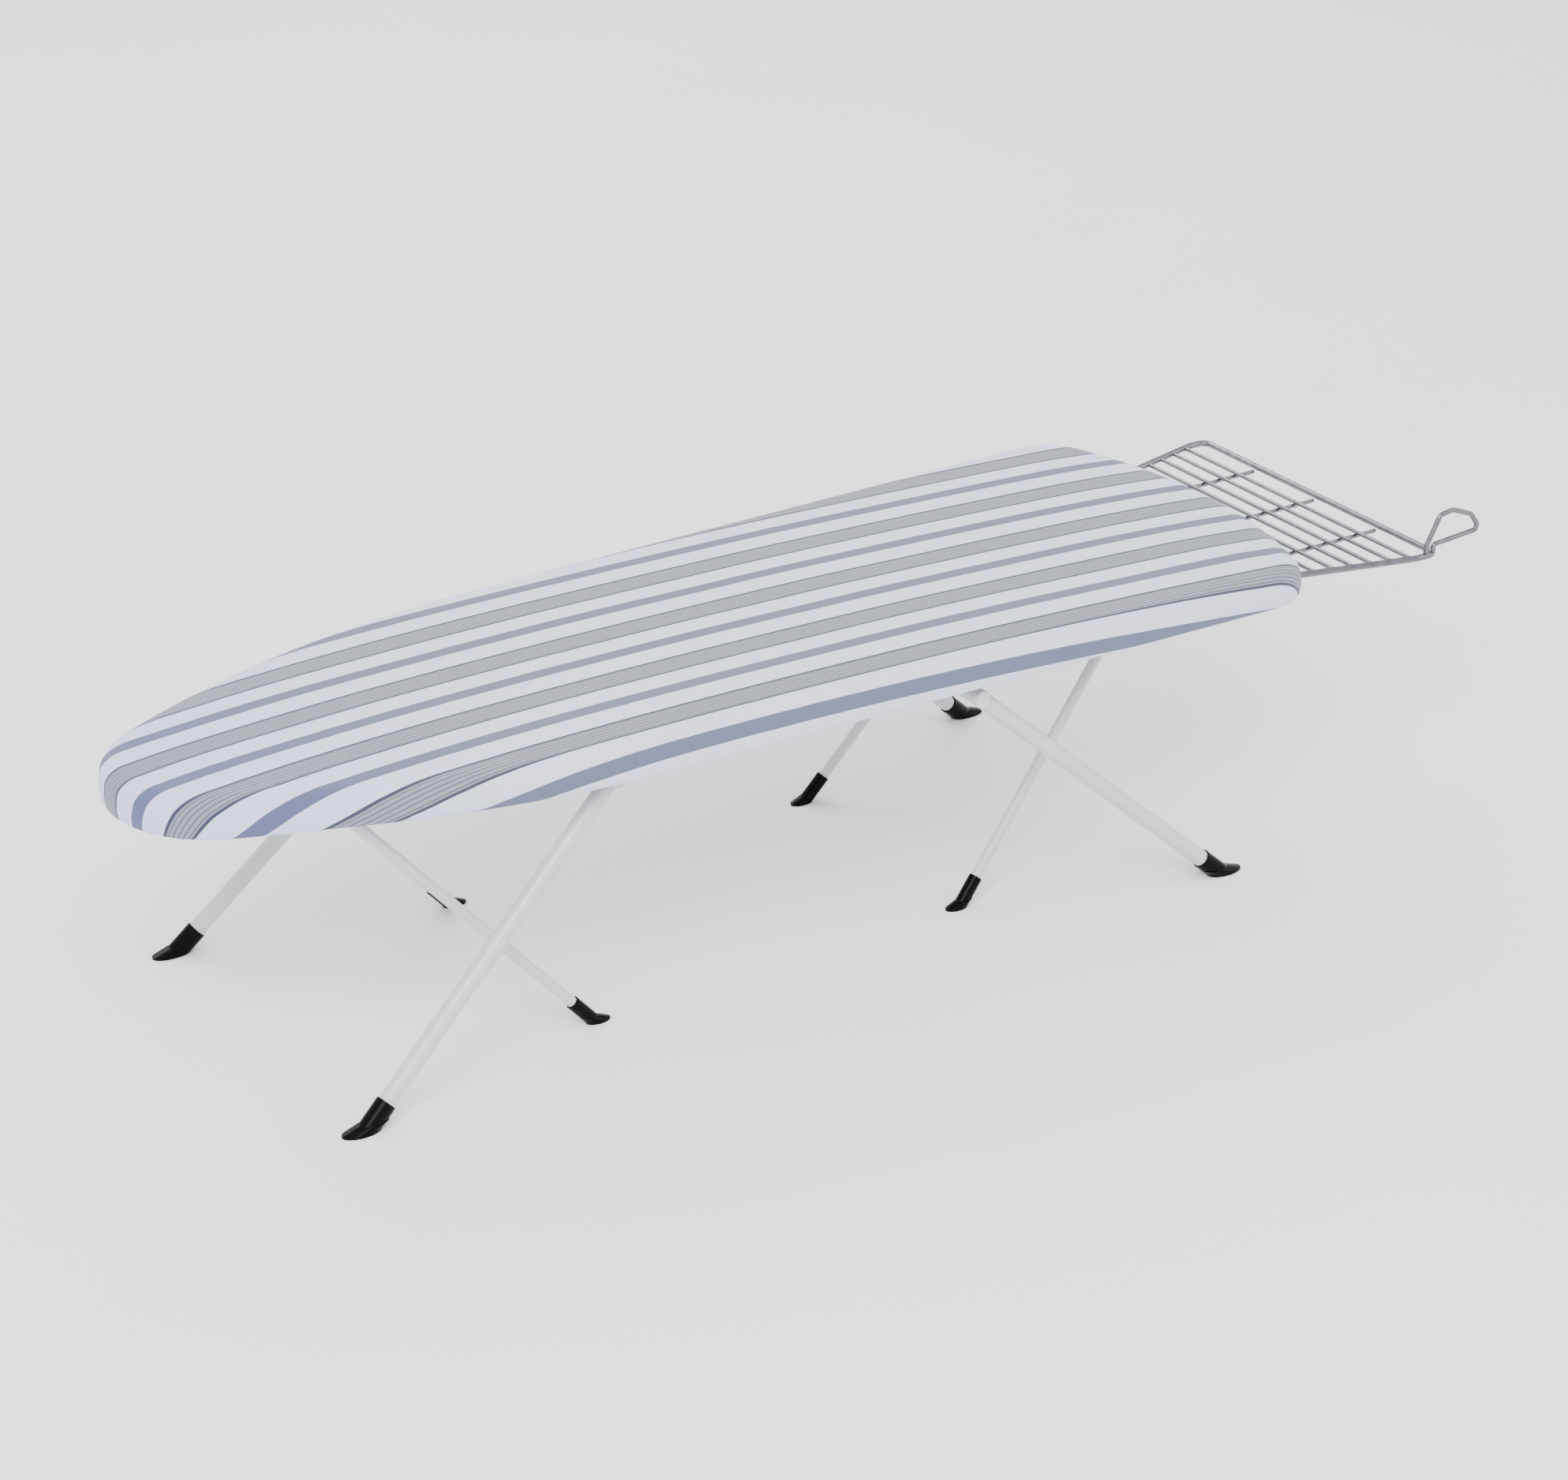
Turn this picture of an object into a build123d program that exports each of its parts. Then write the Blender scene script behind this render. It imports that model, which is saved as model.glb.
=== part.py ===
"""Tabletop ironing board: padded deck, four folding leg frames and a sliding iron rest.

Millimetres. +X runs from the nose to the square tail, +Z is up, the feet stand on z = 0,
and the origin is on that surface under the middle of the whole length, iron rest included.
Left is +Y and right is -Y. The legs are shown open and the iron rest is shown pulled out.
"""
from build123d import *
import os
from math import cos, sin, tan, radians

# ---- whole object -------------------------------------------------------------------------
BOARD_LENGTH = 914.0
REST_REACH = 158.0
TOP_Z = 231.0
NOSE_X = -(BOARD_LENGTH + REST_REACH) / 2
SIDES = {"left": 1, "right": -1}

# ---- outline of the deck, measured from the nose tip ----------------------------------------
NOSE_TIP_RADIUS = 79.0
NOSE_FLANK_RADIUS = 700.0
SIDE_POINT = (620.0, 158.0)
SIDE_ANGLE = 1.2
TAIL_RADIUS = 392.0
TAIL_CORNER_RADIUS = 46.0

# ---- layers of the deck --------------------------------------------------------------------
SKIRT_BOTTOM_Z = 203.0
COVER_THICK = 1.2
COVER_EDGE_RADIUS = 11.0
HEM_WIDTH = 32.0
PAD_GAP = 0.2
PANEL_TOP_Z = 219.0
SHEET_THICK = 1.5
RIM_INSET = 2.0
RIM_LIP = 6.0
RIM_LIFT = 1.2
DIAMOND_LONG = 40.0
DIAMOND_WIDE = 20.0
DIAMOND_BAR = 4.5
MESH_MARGIN = 12.0

# ---- ribs under the deck -------------------------------------------------------------------
RIB_WIDTH = 34.0
RIB_BOTTOM_Z = 205.5
RIB_SHEET = 1.2
RIB_INSET = 11.0

# ---- leg frames ----------------------------------------------------------------------------
NOSE_HINGE_Z = 196.0
TAIL_HINGE_Z = 187.5
RUNNING_GAP = 0.08
TOUCH_GAP = 0.05
TUBE_WALL = 1.0
FOOT_WALL = 1.1
FOOT_FLOOR = 3.0
FOOT_LIP_RADIUS = 0.5
TOE_LIP = 1.4
TOE_RISE = 6.0
TOE_EDGE = 0.4
TOE_SHARE = 0.9
PLUG_STEM = 8.0
PLUG_HEAD = 2.0
BRACKET_WALL = 2.2
BRACKET_WIDTH = 16.0
RIVET_RADIUS = 1.6
RIVET_HEAD_RADIUS = 3.0
RIVET_HEAD_HEIGHT = 1.3
LUG_THICK = 4.0
LUG_SHARE = 1.2

# way: -1 when the feet are nearer the nose than the hinge; outer legs straddle inner ones
OUTER = dict(lean=42.4, radius=6.35, bracket_y=60, foot_length=23.5)
INNER = dict(lean=49.6, radius=4.0, bracket_y=50, foot_length=26, top_y=82, foot_y=106)
FRAMES = {
    "nose_outer": dict(OUTER, foot=97.4, way=-1, hinge_z=NOSE_HINGE_Z, top_y=123, foot_y=151),
    "nose_inner": dict(INNER, foot=301.4, way=+1, hinge_z=NOSE_HINGE_Z, lean=49.15),
    "tail_outer": dict(OUTER, foot=809.5, way=+1, hinge_z=TAIL_HINGE_Z, top_y=139, foot_y=169),
    "tail_inner": dict(INNER, foot=613.6, way=-1, hinge_z=TAIL_HINGE_Z),
}

# ---- iron rest -----------------------------------------------------------------------------
REST_Z = 199.6
RAIL_RADIUS = 2.5
RAIL_Y = 116.0
RAIL_END_Y = 142.0
RAIL_BENDS = [40.0, 10.0, 7.0]
RAIL_START = 688.0
FLARE_START = 912.0
FLARE_END = 1012.0
REST_END = 1030.0
SHELF_WIRE_RADIUS = 1.6
WELD_INSET = 1.0
SHELF_START = 930.0
SHELF_PITCH = 15.5
SHELF_WIRES = 6
LONG_WIRE_Y = (-75.0, 0.0, 75.0)
LONG_WIRE_OVERHANG = 9.0
LOOP_RADIUS = 2.0
LOOP_SHAPE = [(-53.5, 8), (-41, 31), (-28.5, 32.5), (-10, 25), (0, 11), (-46.5, 8)]
LOOP_BENDS = [4.0, 5.0, 9.0, 8.0, 4.0, 2.6]
GUIDE_SIZE = (20.0, 16.0)
GUIDE_BELOW = 6.0
GUIDE_EDGE = 3.0
OUTER_GUIDE_X = 776.0
INNER_GUIDE_X = 706.0
COLLAR_RADIUS = 4.4
COLLAR_LENGTH = 7.0
STOP_GAP = 0.3


def from_nose(distance):
    """Row x of a point a given distance behind the nose tip."""
    return NOSE_X + distance


def meet(point, direction, centre, radius, way):
    """Where a line comes within radius of a centre: way is -1 or +1 along the line."""
    gap = point - centre
    middle = -gap.dot(direction)
    spread = (middle**2 - gap.dot(gap) + radius**2) ** 0.5
    return point + direction * (middle + way * spread)


def deck_outline(inset=0.0):
    """Plan of the deck as a face on z = 0, drawn inwards by inset: arcs and two straight sides."""
    along = Vector(cos(radians(SIDE_ANGLE)), sin(radians(SIDE_ANGLE)))
    outward = Vector(-along.Y, along.X)
    side_point = Vector(from_nose(SIDE_POINT[0]), SIDE_POINT[1])
    tip_centre = Vector(from_nose(NOSE_TIP_RADIUS), 0)
    flank_start = side_point - outward * NOSE_FLANK_RADIUS
    flank_centre = meet(flank_start, along, tip_centre, NOSE_FLANK_RADIUS - NOSE_TIP_RADIUS, +1)
    end_centre = Vector(from_nose(BOARD_LENGTH) - TAIL_RADIUS, 0)

    tip = (from_nose(inset), 0)
    to_tip = (tip_centre - flank_centre).normalized()
    shoulder = flank_centre + to_tip * (NOSE_FLANK_RADIUS - inset)
    side_start = flank_centre + outward * (NOSE_FLANK_RADIUS - inset)
    corner = meet(side_start, along, end_centre, TAIL_RADIUS - inset, +1)
    tail = (end_centre.X + TAIL_RADIUS - inset, 0)
    half = [
        TangentArc(tip, shoulder, tangent=(0, 1)),
        TangentArc(shoulder, side_start, tangent=(to_tip.Y, -to_tip.X)),
        Line(side_start, corner),
    ]
    end = ThreePointArc(corner, tail, (corner.X, -corner.Y))
    plan = make_face(half + [end] + [mirror(edge, about=Plane.XZ) for edge in half])
    corners = [v for v in plan.vertices() if abs(v.X - corner.X) < 1]
    return fillet(corners, TAIL_CORNER_RADIUS - inset).face()


def slab(inset, z_low, z_high):
    """The deck's plan, drawn in by inset, as a slab between two heights."""
    return extrude(Pos(0, 0, z_low) * deck_outline(inset), z_high - z_low)


def ring(inset, width, z_low, z_high):
    """A band that follows the deck's edge."""
    return slab(inset, z_low, z_high) - slab(inset + width, z_low - 1, z_high + 1)


def round_top_edge(solid, radius):
    """Round the outer edge of a slab's top face."""
    return fillet(solid.faces().sort_by(Axis.Z)[-1].edges(), radius)


# ---- deck ----------------------------------------------------------------------------------
def cover():
    """Fabric skin over the pad and down the rim, with a hem turned in underneath."""
    skin = round_top_edge(slab(0, SKIRT_BOTTOM_Z, TOP_Z), COVER_EDGE_RADIUS)
    inside = slab(COVER_THICK, SKIRT_BOTTOM_Z + COVER_THICK - PAD_GAP, TOP_Z - COVER_THICK)
    inside = round_top_edge(inside, COVER_EDGE_RADIUS - COVER_THICK)
    mouth = slab(HEM_WIDTH, SKIRT_BOTTOM_Z - 1, TOP_Z - 2 * COVER_THICK)
    return skin - inside - mouth


def foam_pad():
    """Pad between the cover and the mesh panel."""
    pad = slab(COVER_THICK + PAD_GAP, PANEL_TOP_Z + PAD_GAP, TOP_Z - COVER_THICK - PAD_GAP)
    return round_top_edge(pad, COVER_EDGE_RADIUS - COVER_THICK - PAD_GAP)


def diamond(x, y):
    """One opening of the expanded mesh."""
    half_long = DIAMOND_LONG / 2 - DIAMOND_BAR
    half_wide = DIAMOND_WIDE / 2 - DIAMOND_BAR / 2
    return [(x - half_long, y), (x, y - half_wide), (x + half_long, y), (x, y + half_wide)]


def mesh_panel():
    """Steel panel pierced with staggered diamonds, so that steam passes through."""
    panel = deck_outline(RIM_INSET + SHEET_THICK + TOUCH_GAP)
    allowed = deck_outline(MESH_MARGIN)
    openings = []
    columns = int(BOARD_LENGTH / DIAMOND_LONG * 2)
    rows = int(SIDE_POINT[1] / DIAMOND_WIDE) + 1
    for column in range(columns):
        x = from_nose(DIAMOND_LONG / 2 * (column + 1))
        shift = DIAMOND_WIDE / 2 * (column % 2)
        for row in range(-rows, rows + 1):
            corners = diamond(x, row * DIAMOND_WIDE + shift)
            if all(allowed.is_inside(Vector(*c)) for c in corners):
                openings.append(Wire.make_polygon([Vector(*c) for c in corners], close=True))
    pierced = Face(panel.outer_wire(), openings)
    return extrude(Pos(0, 0, PANEL_TOP_Z - SHEET_THICK) * pierced, SHEET_THICK)


def rim():
    """Turned-down edge of the deck with a lip rolled inwards at its foot."""
    foot_z = SKIRT_BOTTOM_Z + RIM_LIFT
    skirt = ring(RIM_INSET, SHEET_THICK, foot_z, PANEL_TOP_Z)
    lip = ring(RIM_INSET, SHEET_THICK + RIM_LIP, foot_z, foot_z + SHEET_THICK)
    return skirt + lip


def rib_blank(x):
    """Upward-open channel across the deck, cut to the room inside the rim."""
    height = PANEL_TOP_Z - SHEET_THICK - TOUCH_GAP - RIB_BOTTOM_Z
    length = 4 * SIDE_POINT[1]
    middle = Pos(from_nose(x), 0, RIB_BOTTOM_Z + height / 2)
    channel = middle * Box(RIB_WIDTH, length, height)
    channel -= Pos(0, 0, RIB_SHEET) * middle * Box(RIB_WIDTH - 2 * RIB_SHEET, 2 * length, height)
    return channel & slab(RIB_INSET, RIB_BOTTOM_Z - 1, PANEL_TOP_Z)


def pierce(solid, points, radius):
    """Upright holes through a solid at the given points."""
    for x, y in points:
        solid -= Pos(x, y, RIB_BOTTOM_Z) * Cylinder(radius, 60)
    return solid


def rivets(points, grip_low, grip_high):
    """Domed rivets that clamp the sheets between two heights."""
    made = []
    for x, y in points:
        shank = Pos(x, y, (grip_low + grip_high) / 2) * Cylinder(RIVET_RADIUS, grip_high - grip_low)
        head = Cylinder(RIVET_HEAD_RADIUS, RIVET_HEAD_HEIGHT)
        low = Pos(x, y, grip_low - RIVET_HEAD_HEIGHT / 2) * head
        low = fillet(low.faces().sort_by(Axis.Z)[0].edges(), RIVET_HEAD_HEIGHT * 0.8)
        high = Pos(x, y, grip_high + RIVET_HEAD_HEIGHT / 2) * head
        high = fillet(high.faces().sort_by(Axis.Z)[-1].edges(), RIVET_HEAD_HEIGHT * 0.8)
        made.append(shank + low + high)
    return made


# ---- leg frames ----------------------------------------------------------------------------
class LegFrame:
    """One pair of legs welded to a cross tube that turns in two straps under a rib."""

    def __init__(self, foot, lean, way, hinge_z, radius, top_y, foot_y, bracket_y, foot_length):
        self.way = way
        self.radius = radius
        self.top_y = top_y
        self.foot_y = foot_y
        self.bracket_y = bracket_y
        self.foot_length = foot_length
        self.lean = radians(lean)
        self.hinge_z = hinge_z
        self.foot_x = from_nose(foot)
        self.hinge_distance = foot - way * hinge_z / tan(self.lean)
        self.hinge_x = from_nose(self.hinge_distance)
        self.cap_radius = radius + FOOT_WALL
        self.tube_start = self.cap_radius / tan(self.lean) + FOOT_FLOOR

    def rod(self, side, start, end, radius):
        """A round bar along a leg's axis, between two distances up from the floor."""
        floor = Vector(self.foot_x, side * self.foot_y, 0)
        along = (Vector(self.hinge_x, side * self.top_y, self.hinge_z) - floor).normalized()
        circle = Plane(origin=floor + along * start, z_dir=along) * Circle(radius)
        return extrude(circle, end - start)

    def cross_rod(self, radius, length):
        """A round bar along the hinge axis."""
        return Pos(self.hinge_x, 0, self.hinge_z) * Rot(90, 0, 0) * Cylinder(radius, length)

    def hinge_tube(self):
        """Cross tube, the frame's axle."""
        length = 2 * (self.top_y + self.radius)
        return self.cross_rod(self.radius, length) - self.cross_rod(self.radius - TUBE_WALL, 2 * length)

    def plugs(self):
        """Plastic plugs in the open ends of the cross tube."""
        stem = Cylinder(self.radius - TUBE_WALL - TOUCH_GAP, PLUG_STEM + 2 * TOUCH_GAP)
        head = Pos(0, 0, PLUG_HEAD / 2 + TOUCH_GAP) * Cylinder(self.radius, PLUG_HEAD)
        head = fillet(head.faces().sort_by(Axis.Z)[-1].edges(), PLUG_HEAD / 2)
        plug = Pos(0, 0, -PLUG_STEM / 2) * stem + head
        end = self.top_y + self.radius
        x, z = self.hinge_x, self.hinge_z
        return [Pos(x, side * end, z) * Rot(-90 * side, 0, 0) * plug for side in (-1, 1)]

    def leg(self, side):
        """Leg tube, its top coped to sit on the cross tube."""
        length = Vector(self.hinge_x - self.foot_x, self.top_y - self.foot_y, self.hinge_z).length
        tube = self.rod(side, self.tube_start, length, self.radius)
        tube -= self.rod(side, 0, length + 1, self.radius - TUBE_WALL)
        tube -= self.cross_rod(self.radius + TOUCH_GAP, 4 * self.top_y)
        return tube.solids().sort_by(SortBy.VOLUME)[-1]

    def toe(self):
        """Flared end of the sleeve: a thin lip, and a skirt that runs up into the sleeve."""
        reach = self.cap_radius / sin(self.lean)
        flare = TOE_SHARE * self.cap_radius
        lip = Ellipse(reach + flare / 2 + TOE_EDGE, self.cap_radius + TOE_EDGE)
        lip = Pos(self.way * flare / 2, 0, 0) * lip
        neck = Ellipse(reach - TOE_EDGE, self.cap_radius - TOE_EDGE)
        neck = Pos(-self.way * TOE_RISE / tan(self.lean), 0, TOE_RISE) * neck
        return extrude(lip, TOE_LIP) + loft([Pos(0, 0, TOE_LIP) * lip, neck])

    def foot(self, side):
        """Plastic foot: a sleeve over the leg's end with a flat sole and a flared toe."""
        sleeve = self.rod(side, -2 * self.cap_radius, self.foot_length, self.cap_radius)
        sleeve = fillet(sleeve.edges().sort_by(Axis.Z)[-1], FOOT_LIP_RADIUS)
        place = Pos(self.foot_x, side * self.foot_y, 0)
        foot = sleeve + place * self.toe()
        above = extrude(Rectangle(8 * self.foot_length, 8 * self.foot_length), 2 * self.foot_length)
        foot &= place * above
        foot -= self.rod(side, self.tube_start - TOUCH_GAP, 2 * self.foot_length, self.radius + TOUCH_GAP)
        return foot.solids().sort_by(SortBy.VOLUME)[-1]

    def rivet_points(self):
        """Two rivets through each strap, one on each side of the axle."""
        reach = self.radius + RUNNING_GAP + BRACKET_WALL + RIVET_HEAD_RADIUS + 2 * TOUCH_GAP
        return [(self.hinge_x + way * reach, side * self.bracket_y) for side in (-1, 1) for way in (-1, 1)]

    def bracket(self, side):
        """Strap that holds the axle up against the rib."""
        bore = self.radius + RUNNING_GAP
        outer = bore + BRACKET_WALL
        drop = RIB_BOTTOM_Z - TOUCH_GAP - self.hinge_z
        strap = Rot(90, 0, 0) * Cylinder(outer, BRACKET_WIDTH)
        strap += Pos(0, 0, drop / 2) * Box(2 * outer, BRACKET_WIDTH, drop)
        strap += Pos(0, 0, drop - BRACKET_WALL / 2) * Box(RIB_WIDTH, BRACKET_WIDTH, BRACKET_WALL)
        strap -= Rot(90, 0, 0) * Cylinder(bore, 2 * BRACKET_WIDTH)
        window = drop - bore - 2 * BRACKET_WALL
        if window > BRACKET_WALL:
            strap -= Pos(0, 0, (bore + drop) / 2) * Box(bore, 2 * BRACKET_WIDTH, window)
        strap = Pos(self.hinge_x, side * self.bracket_y, self.hinge_z) * strap
        return pierce(strap, self.rivet_points(), RIVET_RADIUS + TOUCH_GAP)

    def stop_lugs(self):
        """Lugs welded on the axle that meet the rib when the legs stand open."""
        radius = self.radius + TOUCH_GAP
        reach = RIB_BOTTOM_Z - STOP_GAP - self.hinge_z
        end = -1 if self.hinge_z == NOSE_HINGE_Z else 1
        width = LUG_SHARE * radius
        block = Pos(end * width / 2, 0, reach / 2) * Box(width, LUG_THICK, reach)
        block -= Rot(90, 0, 0) * Cylinder(radius, 4 * LUG_THICK)
        block = block.solids().sort_by(SortBy.VOLUME)[-1]
        y = self.bracket_y + BRACKET_WIDTH / 2 + LUG_THICK
        return [Pos(self.hinge_x, side * y, self.hinge_z) * block for side in (-1, 1)]


# ---- iron rest -----------------------------------------------------------------------------
def wire(points, radii, radius):
    """Round wire along straight runs joined by arcs."""
    path = FilletPolyline(*points, radius=radii)
    section = Plane(origin=path @ 0, z_dir=path % 0) * Circle(radius)
    return sweep(section, path=path)


def rail(side):
    """Half of the rest's frame: a rail, its flare and half of the end bar."""
    points = [
        (from_nose(RAIL_START), side * RAIL_Y, REST_Z),
        (from_nose(FLARE_START), side * RAIL_Y, REST_Z),
        (from_nose(FLARE_END), side * RAIL_END_Y, REST_Z),
        (from_nose(REST_END), side * RAIL_END_Y, REST_Z),
        (from_nose(REST_END), side * TOUCH_GAP, REST_Z),
    ]
    return wire(points, RAIL_BENDS, RAIL_RADIUS)


def rail_y(distance):
    """Half distance between the rails at a distance from the nose."""
    share = max(0.0, (distance - FLARE_START) / (FLARE_END - FLARE_START))
    return RAIL_Y + (RAIL_END_Y - RAIL_Y) * min(1.0, share)


def shelf_cross_wires():
    """Thin wires between the two rails, which the iron stands on."""
    made = []
    for number in range(SHELF_WIRES):
        distance = SHELF_START + number * SHELF_PITCH
        length = 2 * (rail_y(distance) - RAIL_RADIUS - WELD_INSET)
        bar = Rot(90, 0, 0) * Cylinder(SHELF_WIRE_RADIUS, length)
        made.append(Pos(from_nose(distance), 0, REST_Z) * bar)
    return made


def shelf_long_wires():
    """Wires under the cross wires that tie them to the end bar."""
    start = SHELF_START - LONG_WIRE_OVERHANG
    end = REST_END - RAIL_RADIUS - WELD_INSET
    z = REST_Z - 2 * SHELF_WIRE_RADIUS - TOUCH_GAP
    bar = Rot(0, 90, 0) * Cylinder(SHELF_WIRE_RADIUS, end - start)
    return [Pos(from_nose((start + end) / 2), y, z) * bar for y in LONG_WIRE_Y]


def stop_loop():
    """Upright wire loop at the rest's right corner that keeps the iron from sliding off."""
    base = RAIL_RADIUS + TOUCH_GAP
    shape = [(LOOP_SHAPE[0][0], base)] + LOOP_SHAPE + [(LOOP_SHAPE[-1][0], base)]
    points = [(dx, -RAIL_END_Y, REST_Z + dz) for dx, dz in shape]
    loop = wire(points, LOOP_BENDS, LOOP_RADIUS)
    return Pos(-NOSE_X - loop.bounding_box().max.X, 0, 0) * loop


def guide(x, y):
    """Plastic block under a rib that a rail slides through."""
    bottom = REST_Z - GUIDE_BELOW
    height = RIB_BOTTOM_Z - TOUCH_GAP - bottom
    block = Pos(x, y, bottom + height / 2) * Box(*GUIDE_SIZE, height)
    block = fillet(block.edges().filter_by(Axis.X).sort_by(Axis.Z)[:2], GUIDE_EDGE)
    bore = Rot(0, 90, 0) * Cylinder(RAIL_RADIUS + RUNNING_GAP, 2 * GUIDE_SIZE[0])
    return block - Pos(x, y, REST_Z) * bore


def rail_collars():
    """Collars on the rails that meet the inner guides when the rest is pulled right out."""
    x = from_nose(INNER_GUIDE_X) - GUIDE_SIZE[0] / 2 - STOP_GAP - COLLAR_LENGTH / 2
    collar = Cylinder(COLLAR_RADIUS, COLLAR_LENGTH)
    collar -= Cylinder(RAIL_RADIUS + TOUCH_GAP / 2, 2 * COLLAR_LENGTH)
    return [Pos(x, side * RAIL_Y, REST_Z) * Rot(0, 90, 0) * collar for side in (-1, 1)]


# ---- the whole board -----------------------------------------------------------------------
def build():
    """Every node by name, as a solid or a group of solids."""
    nodes = {"cover": cover(), "foam_pad": foam_pad(), "mesh_panel": mesh_panel(), "rim": rim()}
    all_rivets = []
    ribs = {"guide_rib": rib_blank(INNER_GUIDE_X)}
    for name, values in FRAMES.items():
        frame = LegFrame(**values)
        points = frame.rivet_points()
        ribs[name + "_rib"] = pierce(rib_blank(frame.hinge_distance), points, RIVET_RADIUS + TOUCH_GAP)
        all_rivets += rivets(points, RIB_BOTTOM_Z - TOUCH_GAP - BRACKET_WALL, RIB_BOTTOM_Z + RIB_SHEET)
        nodes[name + "_hinge_tube"] = frame.hinge_tube()
        nodes[name + "_tube_plugs"] = Compound(frame.plugs())
        nodes[name + "_stop_lugs"] = Compound(frame.stop_lugs())
        for side_name, side in SIDES.items():
            nodes[name + "_bracket_" + side_name] = frame.bracket(side)
            nodes[name + "_leg_" + side_name] = frame.leg(side)
            nodes[name + "_foot_" + side_name] = frame.foot(side)
    nodes["bracket_rivets"] = Compound(all_rivets)
    for name, distance in (("outer_guide", OUTER_GUIDE_X), ("inner_guide", INNER_GUIDE_X)):
        for side_name, side in SIDES.items():
            nodes[name + "_" + side_name] = guide(from_nose(distance), side * RAIL_Y)
    nodes.update(ribs)
    nodes["rest_rail_left"] = rail(1)
    nodes["rest_rail_right"] = rail(-1)
    nodes["rest_cross_wires"] = Compound(shelf_cross_wires())
    nodes["rest_long_wires"] = Compound(shelf_long_wires())
    nodes["rest_stop_loop"] = stop_loop()
    nodes["rest_collars"] = Compound(rail_collars())
    return nodes


os.makedirs("parts", exist_ok=True)
for node_name, shape in build().items():
    export_step(shape, "parts/" + node_name + ".step")
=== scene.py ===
"""Looks of the tabletop ironing board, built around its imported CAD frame. Metres, +Z up, nose at -X."""

import math

import bmesh
import bpy
from mathutils import Matrix, Vector, noise


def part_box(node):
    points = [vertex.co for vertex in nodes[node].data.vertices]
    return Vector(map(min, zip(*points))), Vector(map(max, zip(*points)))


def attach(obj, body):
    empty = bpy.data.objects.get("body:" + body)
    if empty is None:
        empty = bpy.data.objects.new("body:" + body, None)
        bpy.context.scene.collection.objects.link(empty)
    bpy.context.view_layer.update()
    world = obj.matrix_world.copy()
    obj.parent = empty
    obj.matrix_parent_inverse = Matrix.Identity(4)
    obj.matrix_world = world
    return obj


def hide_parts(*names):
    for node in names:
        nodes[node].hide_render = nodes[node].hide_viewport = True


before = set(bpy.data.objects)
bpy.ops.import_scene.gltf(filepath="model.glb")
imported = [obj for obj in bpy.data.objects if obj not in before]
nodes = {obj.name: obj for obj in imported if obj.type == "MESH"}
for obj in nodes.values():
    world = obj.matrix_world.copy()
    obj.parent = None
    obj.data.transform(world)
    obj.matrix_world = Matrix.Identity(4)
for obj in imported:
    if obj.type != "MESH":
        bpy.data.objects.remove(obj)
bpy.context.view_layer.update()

MM = 0.001

# ---- the deck, from the frame ----------------------------------------------------------------
COVER_LOW, COVER_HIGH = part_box("cover")
PAD_LOW, PAD_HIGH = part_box("foam_pad")
NOSE_X = COVER_LOW.x
TAIL_X = COVER_HIGH.x
SKIRT_Z = COVER_LOW.z
TOP_Z = COVER_HIGH.z

# the plan's arcs, measured from the nose tip
TIP_RADIUS = 79 * MM
FLANK_RADIUS = 700 * MM
SIDE_POINT = (620 * MM, 158 * MM)
SIDE_ANGLE = math.radians(1.2)
TAIL_RADIUS = 392 * MM
CORNER_RADIUS = 46 * MM

# the cover's profile: a rounded edge, the rim, and a hem turned under
CLOTH_EASE = 3 * MM
TAIL_EASE = 5 * MM
TAIL_EASE_RISE = 1.4
EDGE_REACH = 20 * MM
EDGE_DROP = 13 * MM
EDGE_SAG = 1.8 * MM
SAG_FADE = 30 * MM
HEM_RADIUS = 3.5 * MM
HEM_WIDTH = 31 * MM
NOSE_DROP = 2.5 * MM
NOSE_DROP_REACH = 110 * MM
RIM_SWELL = 0.9 * MM
TOP_WAVE = 0.4 * MM
TOP_WAVE_FADE = 15 * MM
CLOTH_THICK = 0.9 * MM

# the middle line that the rings of the top shrink to
SPINE_LOW = NOSE_X + 85 * MM
SPINE_HIGH = TAIL_X - 150 * MM

# gathers of the hem, in millimetres: two lengths of wave, and their share on the straight sides
GATHER_FINE = 2.1
GATHER_BROAD = 3.7
GATHER_STRAIGHT = 0.18
FULL_BEND = math.radians(30)

# how finely the cover and the pad are divided
OUTLINE_STEP = 5 * MM
TOP_RINGS = 22
EDGE_STEPS = 8
RIM_STEPS = 4
BEND_STEPS = 4
HEM_STEPS = 8
PAD_OUTLINE_STEP = 8 * MM
PAD_TOP_RINGS = 12
PAD_UNDER_RINGS = 8

# the pad stays this far under the cloth
PAD_CLEARANCE = 0.6 * MM
PAD_TOP_CLEARANCE = 0.4 * MM

# the printed stripes, in millimetres across one repeat, from the left edge of the first line
STRIPE_REPEAT = 71.0
STRIPE_START = 101.7
HATCH_START = 2.3
HATCH_WIDTH = 17.7
HATCH_LINES = 5
HATCH_LINE_FROM = 0.38
HATCH_LINE_TO = 0.68
SLATE_START = 40.3
SLATE_WIDTH = 11.5

# in millimetres: the print is pulled sideways by a rate times the square of the distance
# from a place behind the nose tip
DRIFT_MIDDLE = 300.0
DRIFT_TO_TAIL = 1.08e-4
DRIFT_TO_NOSE = 2.0e-4

# the cloth's threads, and the hem's stitches: dashes at a length of cloth down from the top's edge
THREAD_PITCH = 0.75 * MM
STITCH_PITCH = 3.4 * MM
STITCH_SHARE = 0.65
STITCH_WIDTH = 0.4 * MM
STITCH_AT = 52 * MM


# ---- small helpers ---------------------------------------------------------------------------
def meet(point, direction, centre, radius, way):
    """Where a line comes within radius of a centre, before (-1) or after (+1) it is nearest."""
    gap = point - centre
    middle = -gap.dot(direction)
    spread = math.sqrt(middle**2 - gap.dot(gap) + radius**2)
    return point + direction * (middle + way * spread)


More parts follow.
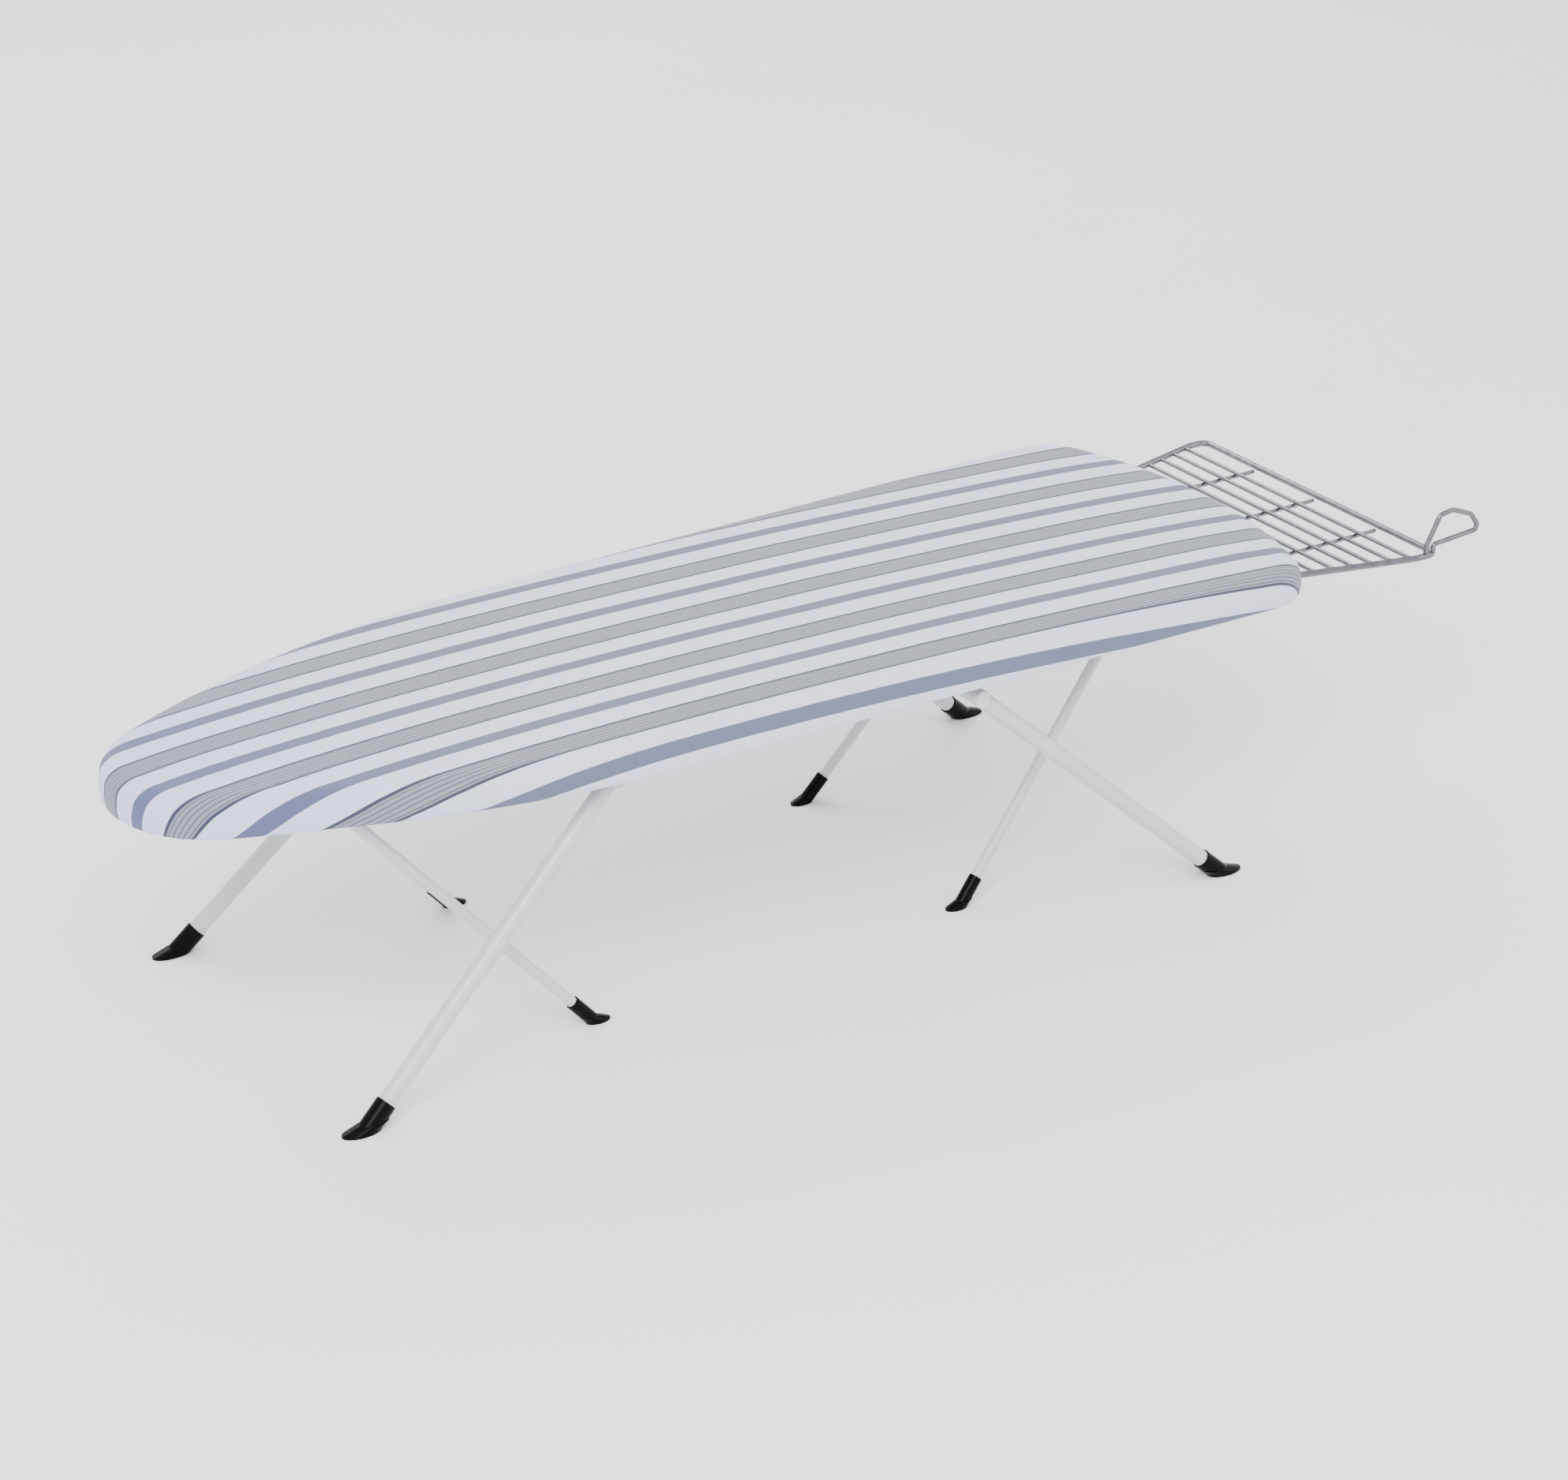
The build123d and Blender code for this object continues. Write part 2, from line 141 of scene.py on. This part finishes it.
def arc_points(centre, radius, start, end, step):
    """Points and outward normals along an arc, without its last point."""
    count = max(2, round(abs(end - start) * radius / step))
    found = []
    for k in range(count):
        angle = start + (end - start) * k / count
        normal = Vector((math.cos(angle), math.sin(angle)))
        found.append((centre + normal * radius, normal))
    return found


def angle_of(direction):
    """Angle of a flat direction from +X."""
    return math.atan2(direction.y, direction.x)


def deck_outline(step):
    """Points and outward normals round the covered deck, from the nose tip by the left side."""
    along = Vector((math.cos(SIDE_ANGLE), math.sin(SIDE_ANGLE)))
    outward = Vector((-along.y, along.x))
    side_point = Vector((NOSE_X + SIDE_POINT[0], SIDE_POINT[1]))
    tip_centre = Vector((NOSE_X + TIP_RADIUS, 0))
    flank_line = side_point - outward * FLANK_RADIUS
    flank_centre = meet(flank_line, along, tip_centre, FLANK_RADIUS - TIP_RADIUS, +1)
    tail_centre = Vector((TAIL_X - TAIL_RADIUS, 0))
    corner_line = side_point - outward * CORNER_RADIUS
    corner_centre = meet(corner_line, along, tail_centre, TAIL_RADIUS - CORNER_RADIUS, +1)
    join = angle_of(tip_centre - flank_centre)
    side = angle_of(outward)
    bend = angle_of(corner_centre - tail_centre)

    half = arc_points(tip_centre, TIP_RADIUS, math.pi, join, step)
    half += arc_points(flank_centre, FLANK_RADIUS, join, side, step)
    start = flank_centre + outward * FLANK_RADIUS
    end = corner_centre + outward * CORNER_RADIUS
    count = round((end - start).length / step)
    half += [(start.lerp(end, k / count), outward) for k in range(count)]
    half += arc_points(corner_centre, CORNER_RADIUS, side, bend, step)
    half += arc_points(tail_centre, TAIL_RADIUS, bend, 0, step)
    tail = (Vector((TAIL_X, 0)), Vector((1, 0)))
    back = [(Vector((p.x, -p.y)), Vector((n.x, -n.y))) for p, n in reversed(half[1:])]
    return [(p + n * cloth_ease(n), n) for p, n in half + [tail] + back]


def cloth_ease(normal):
    """How far the padded edge stands out from the steel rim, most across the tail."""
    return CLOTH_EASE + TAIL_EASE * min(1.0, TAIL_EASE_RISE * max(0.0, normal.x))


def shade_smooth(mesh):
    mesh.polygons.foreach_set("use_smooth", [True] * len(mesh.polygons))


def new_mesh(name, vertices, faces):
    """A smooth mesh object in the scene."""
    mesh = bpy.data.meshes.new(name)
    mesh.from_pydata([tuple(v) for v in vertices], [], faces)
    mesh.update()
    shade_smooth(mesh)
    obj = bpy.data.objects.new(name, mesh)
    bpy.context.scene.collection.objects.link(obj)
    return obj


def apply_modifiers(obj):
    """Turns the object's modifiers into its mesh."""
    graph = bpy.context.evaluated_depsgraph_get()
    mesh = bpy.data.meshes.new_from_object(obj.evaluated_get(graph))
    obj.modifiers.clear()
    obj.data = mesh
    return obj


def bridge_rings(rings, ring_size):
    """Quads between successive closed rings of vertices."""
    faces = []
    for r in range(rings - 1):
        for k in range(ring_size):
            a = r * ring_size + k
            b = r * ring_size + (k + 1) % ring_size
            faces.append((a, b, b + ring_size, a + ring_size))
    return faces


# ---- shader helpers --------------------------------------------------------------------------
def material(name):
    """A new material with its node tree, its links and its principled shader."""
    made = bpy.data.materials.new(name)
    made.use_nodes = True
    tree = made.node_tree
    return made, tree, tree.nodes["Principled BSDF"]


def add(tree, kind, **inputs):
    """A node with its inputs set or linked.

    A key is an input's name, or i and its number; a key that starts with set_ is a property.
    """
    node = tree.nodes.new(kind)
    for key, value in inputs.items():
        if key.startswith("set_"):
            setattr(node, key[4:], value)
            continue
        place = int(key[1:]) if key[1:].isdigit() else key.replace("_", " ")
        socket = node.inputs[place]
        if isinstance(value, bpy.types.NodeSocket):
            tree.links.new(value, socket)
        else:
            socket.default_value = value
    return node


def math_node(tree, operation, a, b=0.0, c=0.0):
    """The output of a math node on numbers or sockets."""
    return add(tree, "ShaderNodeMath", set_operation=operation, i0=a, i1=b, i2=c).outputs[0]


def ramp(tree, factor, stops, interpolation="LINEAR"):
    """A colour ramp's colour output; stops are (place, colour)."""
    node = add(tree, "ShaderNodeValToRGB", Fac=factor)
    node.color_ramp.interpolation = interpolation
    elements = node.color_ramp.elements
    while len(elements) < len(stops):
        elements.new(0.5)
    for element, (place, colour) in zip(elements, sorted(stops)):
        element.position = place
        element.color = (*colour, 1)
    return node.outputs["Color"]


def noise_factor(tree, vector, scale, detail=3.0, roughness=0.5):
    """A noise texture's value, from 0 to 1."""
    values = dict(Vector=vector, Scale=scale, Detail=detail, Roughness=roughness)
    return add(tree, "ShaderNodeTexNoise", **values).outputs["Fac"]


def object_place(tree):
    """Places in the object's own space."""
    return add(tree, "ShaderNodeTexCoord").outputs["Object"]


def spread(tree, factor, low, high):
    """Maps a factor from 0 to 1 onto low to high."""
    return add(tree, "ShaderNodeMapRange", Value=factor, To_Min=low, To_Max=high).outputs["Result"]


def bump(tree, height, distance, strength):
    """A normal bent by a height."""
    values = dict(Height=height, Distance=distance, Strength=strength)
    return add(tree, "ShaderNodeBump", **values).outputs["Normal"]


def link(tree, output, shader, socket):
    """Links an output to a named input of a shader."""
    tree.links.new(output, shader.inputs[socket])


# ---- materials -------------------------------------------------------------------------------
WHITE = (0.72, 0.745, 0.95)
LINE = (0.06, 0.065, 0.10)
HATCH = (0.28, 0.29, 0.345)
HATCH_LINE = (0.13, 0.135, 0.17)
SLATE = (0.13, 0.145, 0.235)


def stripe_stops():
    """Colours across one repeat of the print, as ramp stops.

    A band of thin lines between two darker lines, then a plain gap with one slate stripe.
    """
    stops = [(0.0, LINE)]
    pitch = HATCH_WIDTH / HATCH_LINES
    for k in range(HATCH_LINES):
        start = HATCH_START + k * pitch
        stops.append((start, HATCH))
        stops.append((start + pitch * HATCH_LINE_FROM, HATCH_LINE))
        stops.append((start + pitch * HATCH_LINE_TO, HATCH))
    line_start = HATCH_START + HATCH_WIDTH
    stops.append((line_start, LINE))
    stops.append((line_start + HATCH_START, WHITE))
    stops.append((SLATE_START, SLATE))
    stops.append((SLATE_START + SLATE_WIDTH, WHITE))
    return [(place / STRIPE_REPEAT, colour) for place, colour in stops]


def stitches(tree):
    """A mask of the stitch line that holds the hem, from the hem map."""
    hem = add(tree, "ShaderNodeUVMap", set_uv_map="hem").outputs["UV"]
    split = add(tree, "ShaderNodeSeparateXYZ", Vector=hem)
    dash = math_node(tree, "FRACT", math_node(tree, "MULTIPLY", split.outputs["X"], 1 / STITCH_PITCH))
    dash = math_node(tree, "LESS_THAN", dash, STITCH_SHARE)
    line = math_node(tree, "COMPARE", split.outputs["Y"], STITCH_AT, STITCH_WIDTH)
    return math_node(tree, "MULTIPLY", dash, line)


def cover_cloth():
    """Printed plain-weave cotton: stripes along the board, threads, slubs and a soft sheen."""
    made, tree, shader = material("cover_cloth")
    flat = add(tree, "ShaderNodeUVMap", set_uv_map="cloth").outputs["UV"]
    split = add(tree, "ShaderNodeSeparateXYZ", Vector=flat)
    along, across = split.outputs["X"], split.outputs["Y"]

    wander = noise_factor(tree, flat, 60.0, 2.0)
    across_soft = math_node(tree, "MULTIPLY_ADD", wander, 0.0006, across)
    repeats = -1 / MM / STRIPE_REPEAT
    place = math_node(tree, "MULTIPLY_ADD", across_soft, repeats, STRIPE_START / STRIPE_REPEAT)
    place = math_node(tree, "FRACT", place)
    print_colour = ramp(tree, place, stripe_stops(), "CONSTANT")

    thread = 2 * math.pi / THREAD_PITCH
    warp = math_node(tree, "SINE", math_node(tree, "MULTIPLY", across, thread))
    weft = math_node(tree, "SINE", math_node(tree, "MULTIPLY", along, thread))
    weave = math_node(tree, "MULTIPLY", warp, weft)
    slub_place = add(tree, "ShaderNodeMapping", Vector=flat, Scale=(40, 900, 1)).outputs["Vector"]
    slub = noise_factor(tree, slub_place, 1.0, 2.0)
    mottle = noise_factor(tree, flat, 9.0, 4.0, 0.6)

    tone = math_node(tree, "MULTIPLY_ADD", weave, 0.035, 0.965)
    tone = math_node(tree, "MULTIPLY", tone, spread(tree, slub, 0.93, 1.06))
    tone = math_node(tree, "MULTIPLY", tone, spread(tree, mottle, 0.965, 1.035))
    strength = dict(From_Min=0.04, From_Max=0.24, To_Min=1.3, To_Max=1.0)
    strength = add(tree, "ShaderNodeMapRange", Value=along, **strength).outputs["Result"]
    tinted = add(tree, "ShaderNodeHueSaturation", Color=print_colour, Saturation=strength)
    tinted = tinted.outputs["Color"]
    shaded = add(tree, "ShaderNodeVectorMath", set_operation="SCALE", i0=tinted, Scale=tone)
    link(tree, shaded.outputs["Vector"], shader, "Base Color")
    link(tree, spread(tree, slub, 0.82, 0.95), shader, "Roughness")
    height = math_node(tree, "MULTIPLY_ADD", slub, 0.5, weave)
    height = math_node(tree, "MULTIPLY_ADD", stitches(tree), 5.0, height)
    link(tree, bump(tree, height, 0.12 * MM, 0.55), shader, "Normal")
    shader.inputs["Sheen Weight"].default_value = 0.22
    shader.inputs["Sheen Roughness"].default_value = 0.5
    shader.inputs["Specular IOR Level"].default_value = 0.25
    return made


def felt():
    """Needled pad felt under the cover."""
    made, tree, shader = material("pad_felt")
    where = object_place(tree)
    fibre = noise_factor(tree, where, 900.0, 6.0, 0.7)
    cloud = noise_factor(tree, where, 35.0, 3.0)
    blend = math_node(tree, "MULTIPLY", cloud, 0.4)
    blend = math_node(tree, "MULTIPLY_ADD", fibre, 0.6, blend)
    colour = ramp(tree, blend, [(0.3, (0.50, 0.48, 0.43)), (0.7, (0.72, 0.70, 0.64))])
    link(tree, colour, shader, "Base Color")
    link(tree, bump(tree, fibre, 0.5 * MM, 0.8), shader, "Normal")
    shader.inputs["Roughness"].default_value = 0.95
    shader.inputs["Sheen Weight"].default_value = 0.3
    return made


def powder_coat(name, colour, gloss=0.32, speckle=0.015):
    """Baked powder coat: orange peel, faint dust and rubbed patches."""
    made, tree, shader = material(name)
    where = object_place(tree)
    peel = noise_factor(tree, where, 650.0, 2.0)
    patch = noise_factor(tree, where, 28.0, 5.0, 0.6)
    low = tuple(c * (1 - 3 * speckle) for c in colour)
    link(tree, ramp(tree, patch, [(0.3, low), (0.62, colour)]), shader, "Base Color")
    link(tree, spread(tree, patch, gloss * 0.8, gloss * 1.35), shader, "Roughness")
    link(tree, bump(tree, peel, 0.06 * MM, 0.35), shader, "Normal")
    shader.inputs["Coat Weight"].default_value = 0.25
    shader.inputs["Coat Roughness"].default_value = 0.12
    return made


def moulded_plastic(name, colour, gloss=0.2, grain=0.03, shine=0.5):
    """Moulded plastic with fine texture and handling marks."""
    made, tree, shader = material(name)
    where = object_place(tree)
    fine = noise_factor(tree, where, 1400.0, 3.0)
    marks = noise_factor(tree, where, 90.0, 6.0, 0.65)
    pale = tuple(min(1.0, c * 1.25 + 0.001) for c in colour)
    link(tree, ramp(tree, marks, [(0.45, colour), (0.8, pale)]), shader, "Base Color")
    link(tree, spread(tree, marks, gloss * 0.8, gloss * 1.7), shader, "Roughness")
    link(tree, bump(tree, fine, grain * MM, 0.5), shader, "Normal")
    shader.inputs["Specular IOR Level"].default_value = shine
    return made


def plated_wire(name, colour, rough=0.24):
    """Zinc-plated steel wire: drawn streaks and dull spots."""
    made, tree, shader = material(name)
    where = object_place(tree)
    stretched = add(tree, "ShaderNodeMapping", Vector=where, Scale=(60, 900, 900)).outputs["Vector"]
    drawn = noise_factor(tree, stretched, 1.0, 3.0)
    spots = noise_factor(tree, where, 140.0, 5.0, 0.6)
    dull = tuple(c * 0.72 for c in colour)
    link(tree, ramp(tree, spots, [(0.35, dull), (0.65, colour)]), shader, "Base Color")
    link(tree, spread(tree, drawn, rough * 0.7, rough * 1.6), shader, "Roughness")
    link(tree, bump(tree, drawn, 0.04 * MM, 0.4), shader, "Normal")
    shader.inputs["Metallic"].default_value = 1.0
    return made


# ---- the cover and the pad -------------------------------------------------------------------
def towards_spine(point, share):
    """A point moved a share of the way in to the deck's middle line."""
    spine = Vector((min(max(point.x, SPINE_LOW), SPINE_HIGH), 0))
    return point.lerp(spine, share)


def edge_rows(reach, drop):
    """Inset and drop round an elliptical edge, from the top outwards."""
    turns = [math.pi / 2 * k / EDGE_STEPS for k in range(EDGE_STEPS + 1)]
    return [(reach * (1 - math.sin(t)), drop * (1 - math.cos(t))) for t in turns]


def cover_profile():
    """The cover's section from the top down the rim to the hem: rows of inset, height and stage.

    The stage runs from 0 at the top to 1 at the foot of the rim and 2 at the hem's inner edge.
    """
    high = TOP_Z - EDGE_DROP
    low = SKIRT_Z + HEM_RADIUS
    rows = [(inset, TOP_Z - drop, 0.0) for inset, drop in edge_rows(EDGE_REACH, EDGE_DROP)]
    for k in range(1, RIM_STEPS + 1):
        share = k / RIM_STEPS
        rows.append((0.0, high + (low - high) * share, share))
    rows += [(inset, low - HEM_RADIUS + up, 1.0) for inset, up in hem_bend()]
    for k in range(1, HEM_STEPS + 1):
        share = k / HEM_STEPS
        rows.append((HEM_RADIUS + (HEM_WIDTH - HEM_RADIUS) * share, SKIRT_Z, 1 + share))
    return rows


def hem_bend():
    """Inset and height above the hem where the rim turns under."""
    turns = [math.pi / 2 * k / BEND_STEPS for k in range(1, BEND_STEPS + 1)]
    return [(HEM_RADIUS * (1 - math.cos(t)), HEM_RADIUS * (1 - math.sin(t))) for t in turns]


def cloth_used(rows):
    """Length of cloth from the top of the edge to each row of the profile."""
    used = [0.0]
    for (inset, z, _), (next_inset, next_z, _) in zip(rows, rows[1:]):
        used.append(used[-1] + math.hypot(next_inset - inset, next_z - z))
    return used


def bend_at(outline, k):
    """How sharply the outline bends near a point, from 0 on the straight sides to 1."""
    before = outline[k - 3][1]
    after = outline[(k + 3) % len(outline)][1]
    return min(1.0, before.angle(after, 0.0) / FULL_BEND)


def pucker_at(length):
    """Height of the gathers at a place along the hem, about -1.6 to 1.6."""
    fine = math.sin(length / GATHER_FINE + 2.5 * noise.noise(Vector((length * 0.02, 1.7, 0))))
    broad = math.sin(length / GATHER_BROAD + 3 * noise.noise(Vector((length * 0.015, 7.7, 0))))
    return fine + 0.6 * broad


def print_drift(x):
    """How far the print has been pulled sideways where the cover was stretched on."""
    gap = (x - NOSE_X) / MM - DRIFT_MIDDLE
    rate = DRIFT_TO_TAIL if gap > 0 else DRIFT_TO_NOSE
    return -rate * gap * gap * MM


def top_rows(outline):
    """Vertices of the cover's top, from the middle line out, with their places on the flat cloth."""
    vertices, cloth = [], []
    for r in range(TOP_RINGS):
        for point, normal in outline:
            edge = point - normal * EDGE_REACH
            place = towards_spine(edge, 1 - r / TOP_RINGS)
            inset = (edge - place).length
            sag = EDGE_SAG * math.exp(-inset / SAG_FADE)
            wave = noise.noise(Vector((place.x * 9, place.y * 16, 3.1))) * TOP_WAVE
            wave *= 1 - math.exp(-inset / TOP_WAVE_FADE)
            vertices.append((place.x, place.y, TOP_Z - sag + wave))
            cloth.append((place.x, place.y, 0.0, 0.0))
    return vertices, cloth


def side_rows(outline):
    """Vertices of the cover's edge, rim and hem, with their places on the flat cloth."""
    vertices, cloth = [], []
    rows = cover_profile()
    for (inset, z, stage), used in zip(rows, cloth_used(rows)):
        length = 0.0
        for k, (point, normal) in enumerate(outline):
            length += (point - outline[k - 1][0]).length / MM
            gather = GATHER_STRAIGHT + bend_at(outline, k)
            pucker = pucker_at(length) * gather * MM
            out = 0.5 * pucker * stage**2 if stage <= 1 else 0.0
            out += RIM_SWELL * math.sin(math.pi * min(stage, 1.0))
            drop = pucker * min(1.0, 2 * (stage - 1)) if stage > 1 else 0.0
            nose = max(0.0, 1 - (point.x - NOSE_X) / NOSE_DROP_REACH)
            drop -= NOSE_DROP * min(1.0, 1.6 * nose) * min(stage, 1.0)
            sag = EDGE_SAG * max(0.0, 1 - used / (1.2 * EDGE_REACH))
            place = point - normal * (inset - out)
            flat = point - normal * (EDGE_REACH - used)
            vertices.append((place.x, place.y, z - sag + drop))
            cloth.append((flat.x, flat.y, length * MM, used))
    return vertices, cloth


def build_cover(cloth_material):
    """The sewn cover: top, rim and turned-in hem as one sheet, drawn in by its gathered hem."""
    outline = deck_outline(OUTLINE_STEP)
    top, top_cloth = top_rows(outline)
    side, side_cloth = side_rows(outline)
    faces = bridge_rings(TOP_RINGS + len(cover_profile()), len(outline))
    cover = new_mesh("cover_cloth", top + side, faces)
    cloth = top_cloth + side_cloth
    flat_map = cover.data.uv_layers.new(name="cloth")
    hem_map = cover.data.uv_layers.new(name="hem")
    for loop in cover.data.loops:
        x, y, length, used = cloth[loop.vertex_index]
        flat_map.data[loop.index].uv = (x - NOSE_X, y - print_drift(x))
        hem_map.data[loop.index].uv = (length, used)
    weld(cover)
    thicken = cover.modifiers.new("thick", "SOLIDIFY")
    thicken.thickness = CLOTH_THICK
    thicken.offset = -1
    smooth = cover.modifiers.new("smooth", "SUBSURF")
    smooth.levels = 1
    cover.data.materials.append(cloth_material)
    return apply_modifiers(cover)


def weld(obj):
    """Joins vertices that lie on each other and turns the faces outwards from the top."""
    work = bmesh.new()
    work.from_mesh(obj.data)
    bmesh.ops.remove_doubles(work, verts=work.verts, dist=0.02 * MM)
    bmesh.ops.recalc_face_normals(work, faces=work.faces)
    top = max(work.faces, key=lambda face: face.calc_center_median().z)
    if top.normal.z < 0:
        bmesh.ops.reverse_faces(work, faces=work.faces)
    work.to_mesh(obj.data)
    work.free()
    shade_smooth(obj.data)


def build_pad(pad_material):
    """The pad under the cover: a closed form with a soft edge."""
    outline = deck_outline(PAD_OUTLINE_STEP)
    gap = CLOTH_THICK + PAD_CLEARANCE
    high = TOP_Z - gap
    low = PAD_LOW.z
    reach = EDGE_REACH - gap
    vertices = []
    for r in range(PAD_TOP_RINGS):
        for point, normal in outline:
            edge = point - normal * EDGE_REACH
            place = towards_spine(edge, 1 - r / PAD_TOP_RINGS)
            sag = EDGE_SAG * math.exp(-(edge - place).length / SAG_FADE)
            vertices.append((place.x, place.y, high - sag - PAD_TOP_CLEARANCE))
    rows = [row for row in edge_rows(reach, EDGE_DROP - gap) if high - row[1] > low + EDGE_SAG]
    for inset, drop in rows:
        fade = 1 - drop / (EDGE_DROP - gap)
        for point, normal in outline:
            place = point - normal * (gap + inset)
            vertices.append((place.x, place.y, high - drop - EDGE_SAG * fade))
    for r in range(PAD_UNDER_RINGS):
        for point, normal in outline:
            place = towards_spine(point - normal * (gap + rows[-1][0]), r / (PAD_UNDER_RINGS - 1))
            vertices.append((place.x, place.y, low))
    rings = PAD_TOP_RINGS + len(rows) + PAD_UNDER_RINGS
    pad = new_mesh("pad", vertices, bridge_rings(rings, len(outline)))
    weld(pad)
    pad.data.materials.append(pad_material)
    return pad


# ---- camera, light and floor -----------------------------------------------------------------
AZIMUTH = math.radians(32.43)
ELEVATION = math.radians(25.34)
ROLL = math.radians(-0.57)
CAMERA_DISTANCE = 2.895
AIM_RIGHT = 0.0613
AIM_UP = -0.0853
LENS = 92.47
FLOOR_SIZE = 28
SKY_STRENGTH = 1.55
OBJECT_MIDDLE = (0, 0, 0.15)


def build_camera():
    """The camera, aimed at the middle of the deck's top from in front of the right side."""
    level = Vector((-math.sin(AZIMUTH), -math.cos(AZIMUTH), 0))
    back = level * math.cos(ELEVATION) + Vector((0, 0, math.sin(ELEVATION)))
    right = Vector((math.cos(AZIMUTH), -math.sin(AZIMUTH), 0))
    up = back.cross(right)
    rolled = right * math.cos(ROLL) + up * math.sin(ROLL)
    upright = -right * math.sin(ROLL) + up * math.cos(ROLL)
    target = Vector(((NOSE_X + TAIL_X) / 2, 0, TOP_Z))
    place = target + back * CAMERA_DISTANCE + rolled * AIM_RIGHT + upright * AIM_UP
    data = bpy.data.cameras.new("camera")
    data.lens = LENS
    data.sensor_width = 36
    data.clip_end = 50
    camera = bpy.data.objects.new("camera", data)
    matrix = Matrix((rolled, upright, back)).transposed().to_4x4()
    matrix.translation = place
    camera.matrix_world = matrix
    bpy.context.scene.collection.objects.link(camera)
    bpy.context.scene.camera = camera


def area_light(name, place, size, power, colour):
    """A lamp of a given width and height, turned to the middle of the object."""
    data = bpy.data.lights.new(name, "AREA")
    data.shape = "RECTANGLE"
    data.size, data.size_y = size
    data.energy = power
    data.color = colour
    light = bpy.data.objects.new(name, data)
    light.location = place
    towards = Vector(OBJECT_MIDDLE) - Vector(place)
    light.rotation_euler = towards.to_track_quat("-Z", "Y").to_euler()
    bpy.context.scene.collection.objects.link(light)


def build_stage():
    """A pale floor, a soft sky and three large lamps."""
    made, tree, shader = material("floor_paint")
    where = object_place(tree)
    cloud = noise_factor(tree, where, 3.0, 3.0)
    colour = ramp(tree, cloud, [(0.3, (0.92, 0.92, 0.93)), (0.7, (0.94, 0.94, 0.95))])
    link(tree, colour, shader, "Base Color")
    shader.inputs["Roughness"].default_value = 0.9
    half = FLOOR_SIZE / 2
    corners = [(-half, -half, 0), (half, -half, 0), (half, half, 0), (-half, half, 0)]
    floor = new_mesh("floor", corners, [(0, 1, 2, 3)])
    floor.data.materials.append(made)

    world = bpy.data.worlds.new("studio")
    bpy.context.scene.world = world
    world.use_nodes = True
    sky = world.node_tree.nodes["Background"].inputs
    sky["Color"].default_value = (0.96, 0.98, 1.0, 1)
    sky["Strength"].default_value = SKY_STRENGTH
    area_light("key", (-1.6, -1.9, 2.6), (2.2, 1.6), 115, (1.0, 0.985, 0.96))
    area_light("fill", (2.4, -1.4, 1.6), (1.8, 1.8), 25, (0.94, 0.97, 1.0))
    area_light("back", (0.2, 2.6, 2.2), (3.0, 1.2), 55, (1.0, 1.0, 1.0))


# ---- put it together -------------------------------------------------------------------------
def paint(names, made):
    """Gives CAD nodes a material."""
    for name in names:
        mesh = nodes[name].data
        mesh.materials.clear()
        mesh.materials.append(made)


def named(*parts):
    """CAD nodes whose name holds one of the parts."""
    return [n for n in nodes if any(p in n for p in parts)]


cover = build_cover(cover_cloth())
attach(cover, "board")
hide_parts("cover")
# cloth past the deck's edge, down the rim and round to the hem's inner edge
OVERHANG = cloth_used(cover_profile())[-1] - EDGE_REACH + CLOTH_EASE

pad = build_pad(felt())
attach(pad, "board")
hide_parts("foam_pad")

WHITE_COAT = powder_coat("leg_powder_coat", (0.58, 0.585, 0.59))
paint(named("_hinge_tube", "_leg_left", "_leg_right", "_stop_lugs"), WHITE_COAT)
paint(["mesh_panel", "rim"], powder_coat("deck_powder_coat", (0.72, 0.73, 0.74), 0.4))
paint(named("_rib", "_bracket_"), powder_coat("rib_powder_coat", (0.70, 0.70, 0.70), 0.42))
paint(["bracket_rivets"], plated_wire("rivet_steel", (0.60, 0.60, 0.62), 0.3))
paint(named("_foot_"), moulded_plastic("foot_plastic", (0.001, 0.001, 0.001), 0.18, 0.02, 0.08))
paint(named("_tube_plugs"), moulded_plastic("plug_plastic", (0.62, 0.62, 0.61), 0.4))
paint(named("_guide_left", "_guide_right"), moulded_plastic("guide_nylon", (0.62, 0.62, 0.60), 0.35))
paint(named("rest_"), plated_wire("rest_wire", (0.21, 0.21, 0.23)))

build_stage()
build_camera()
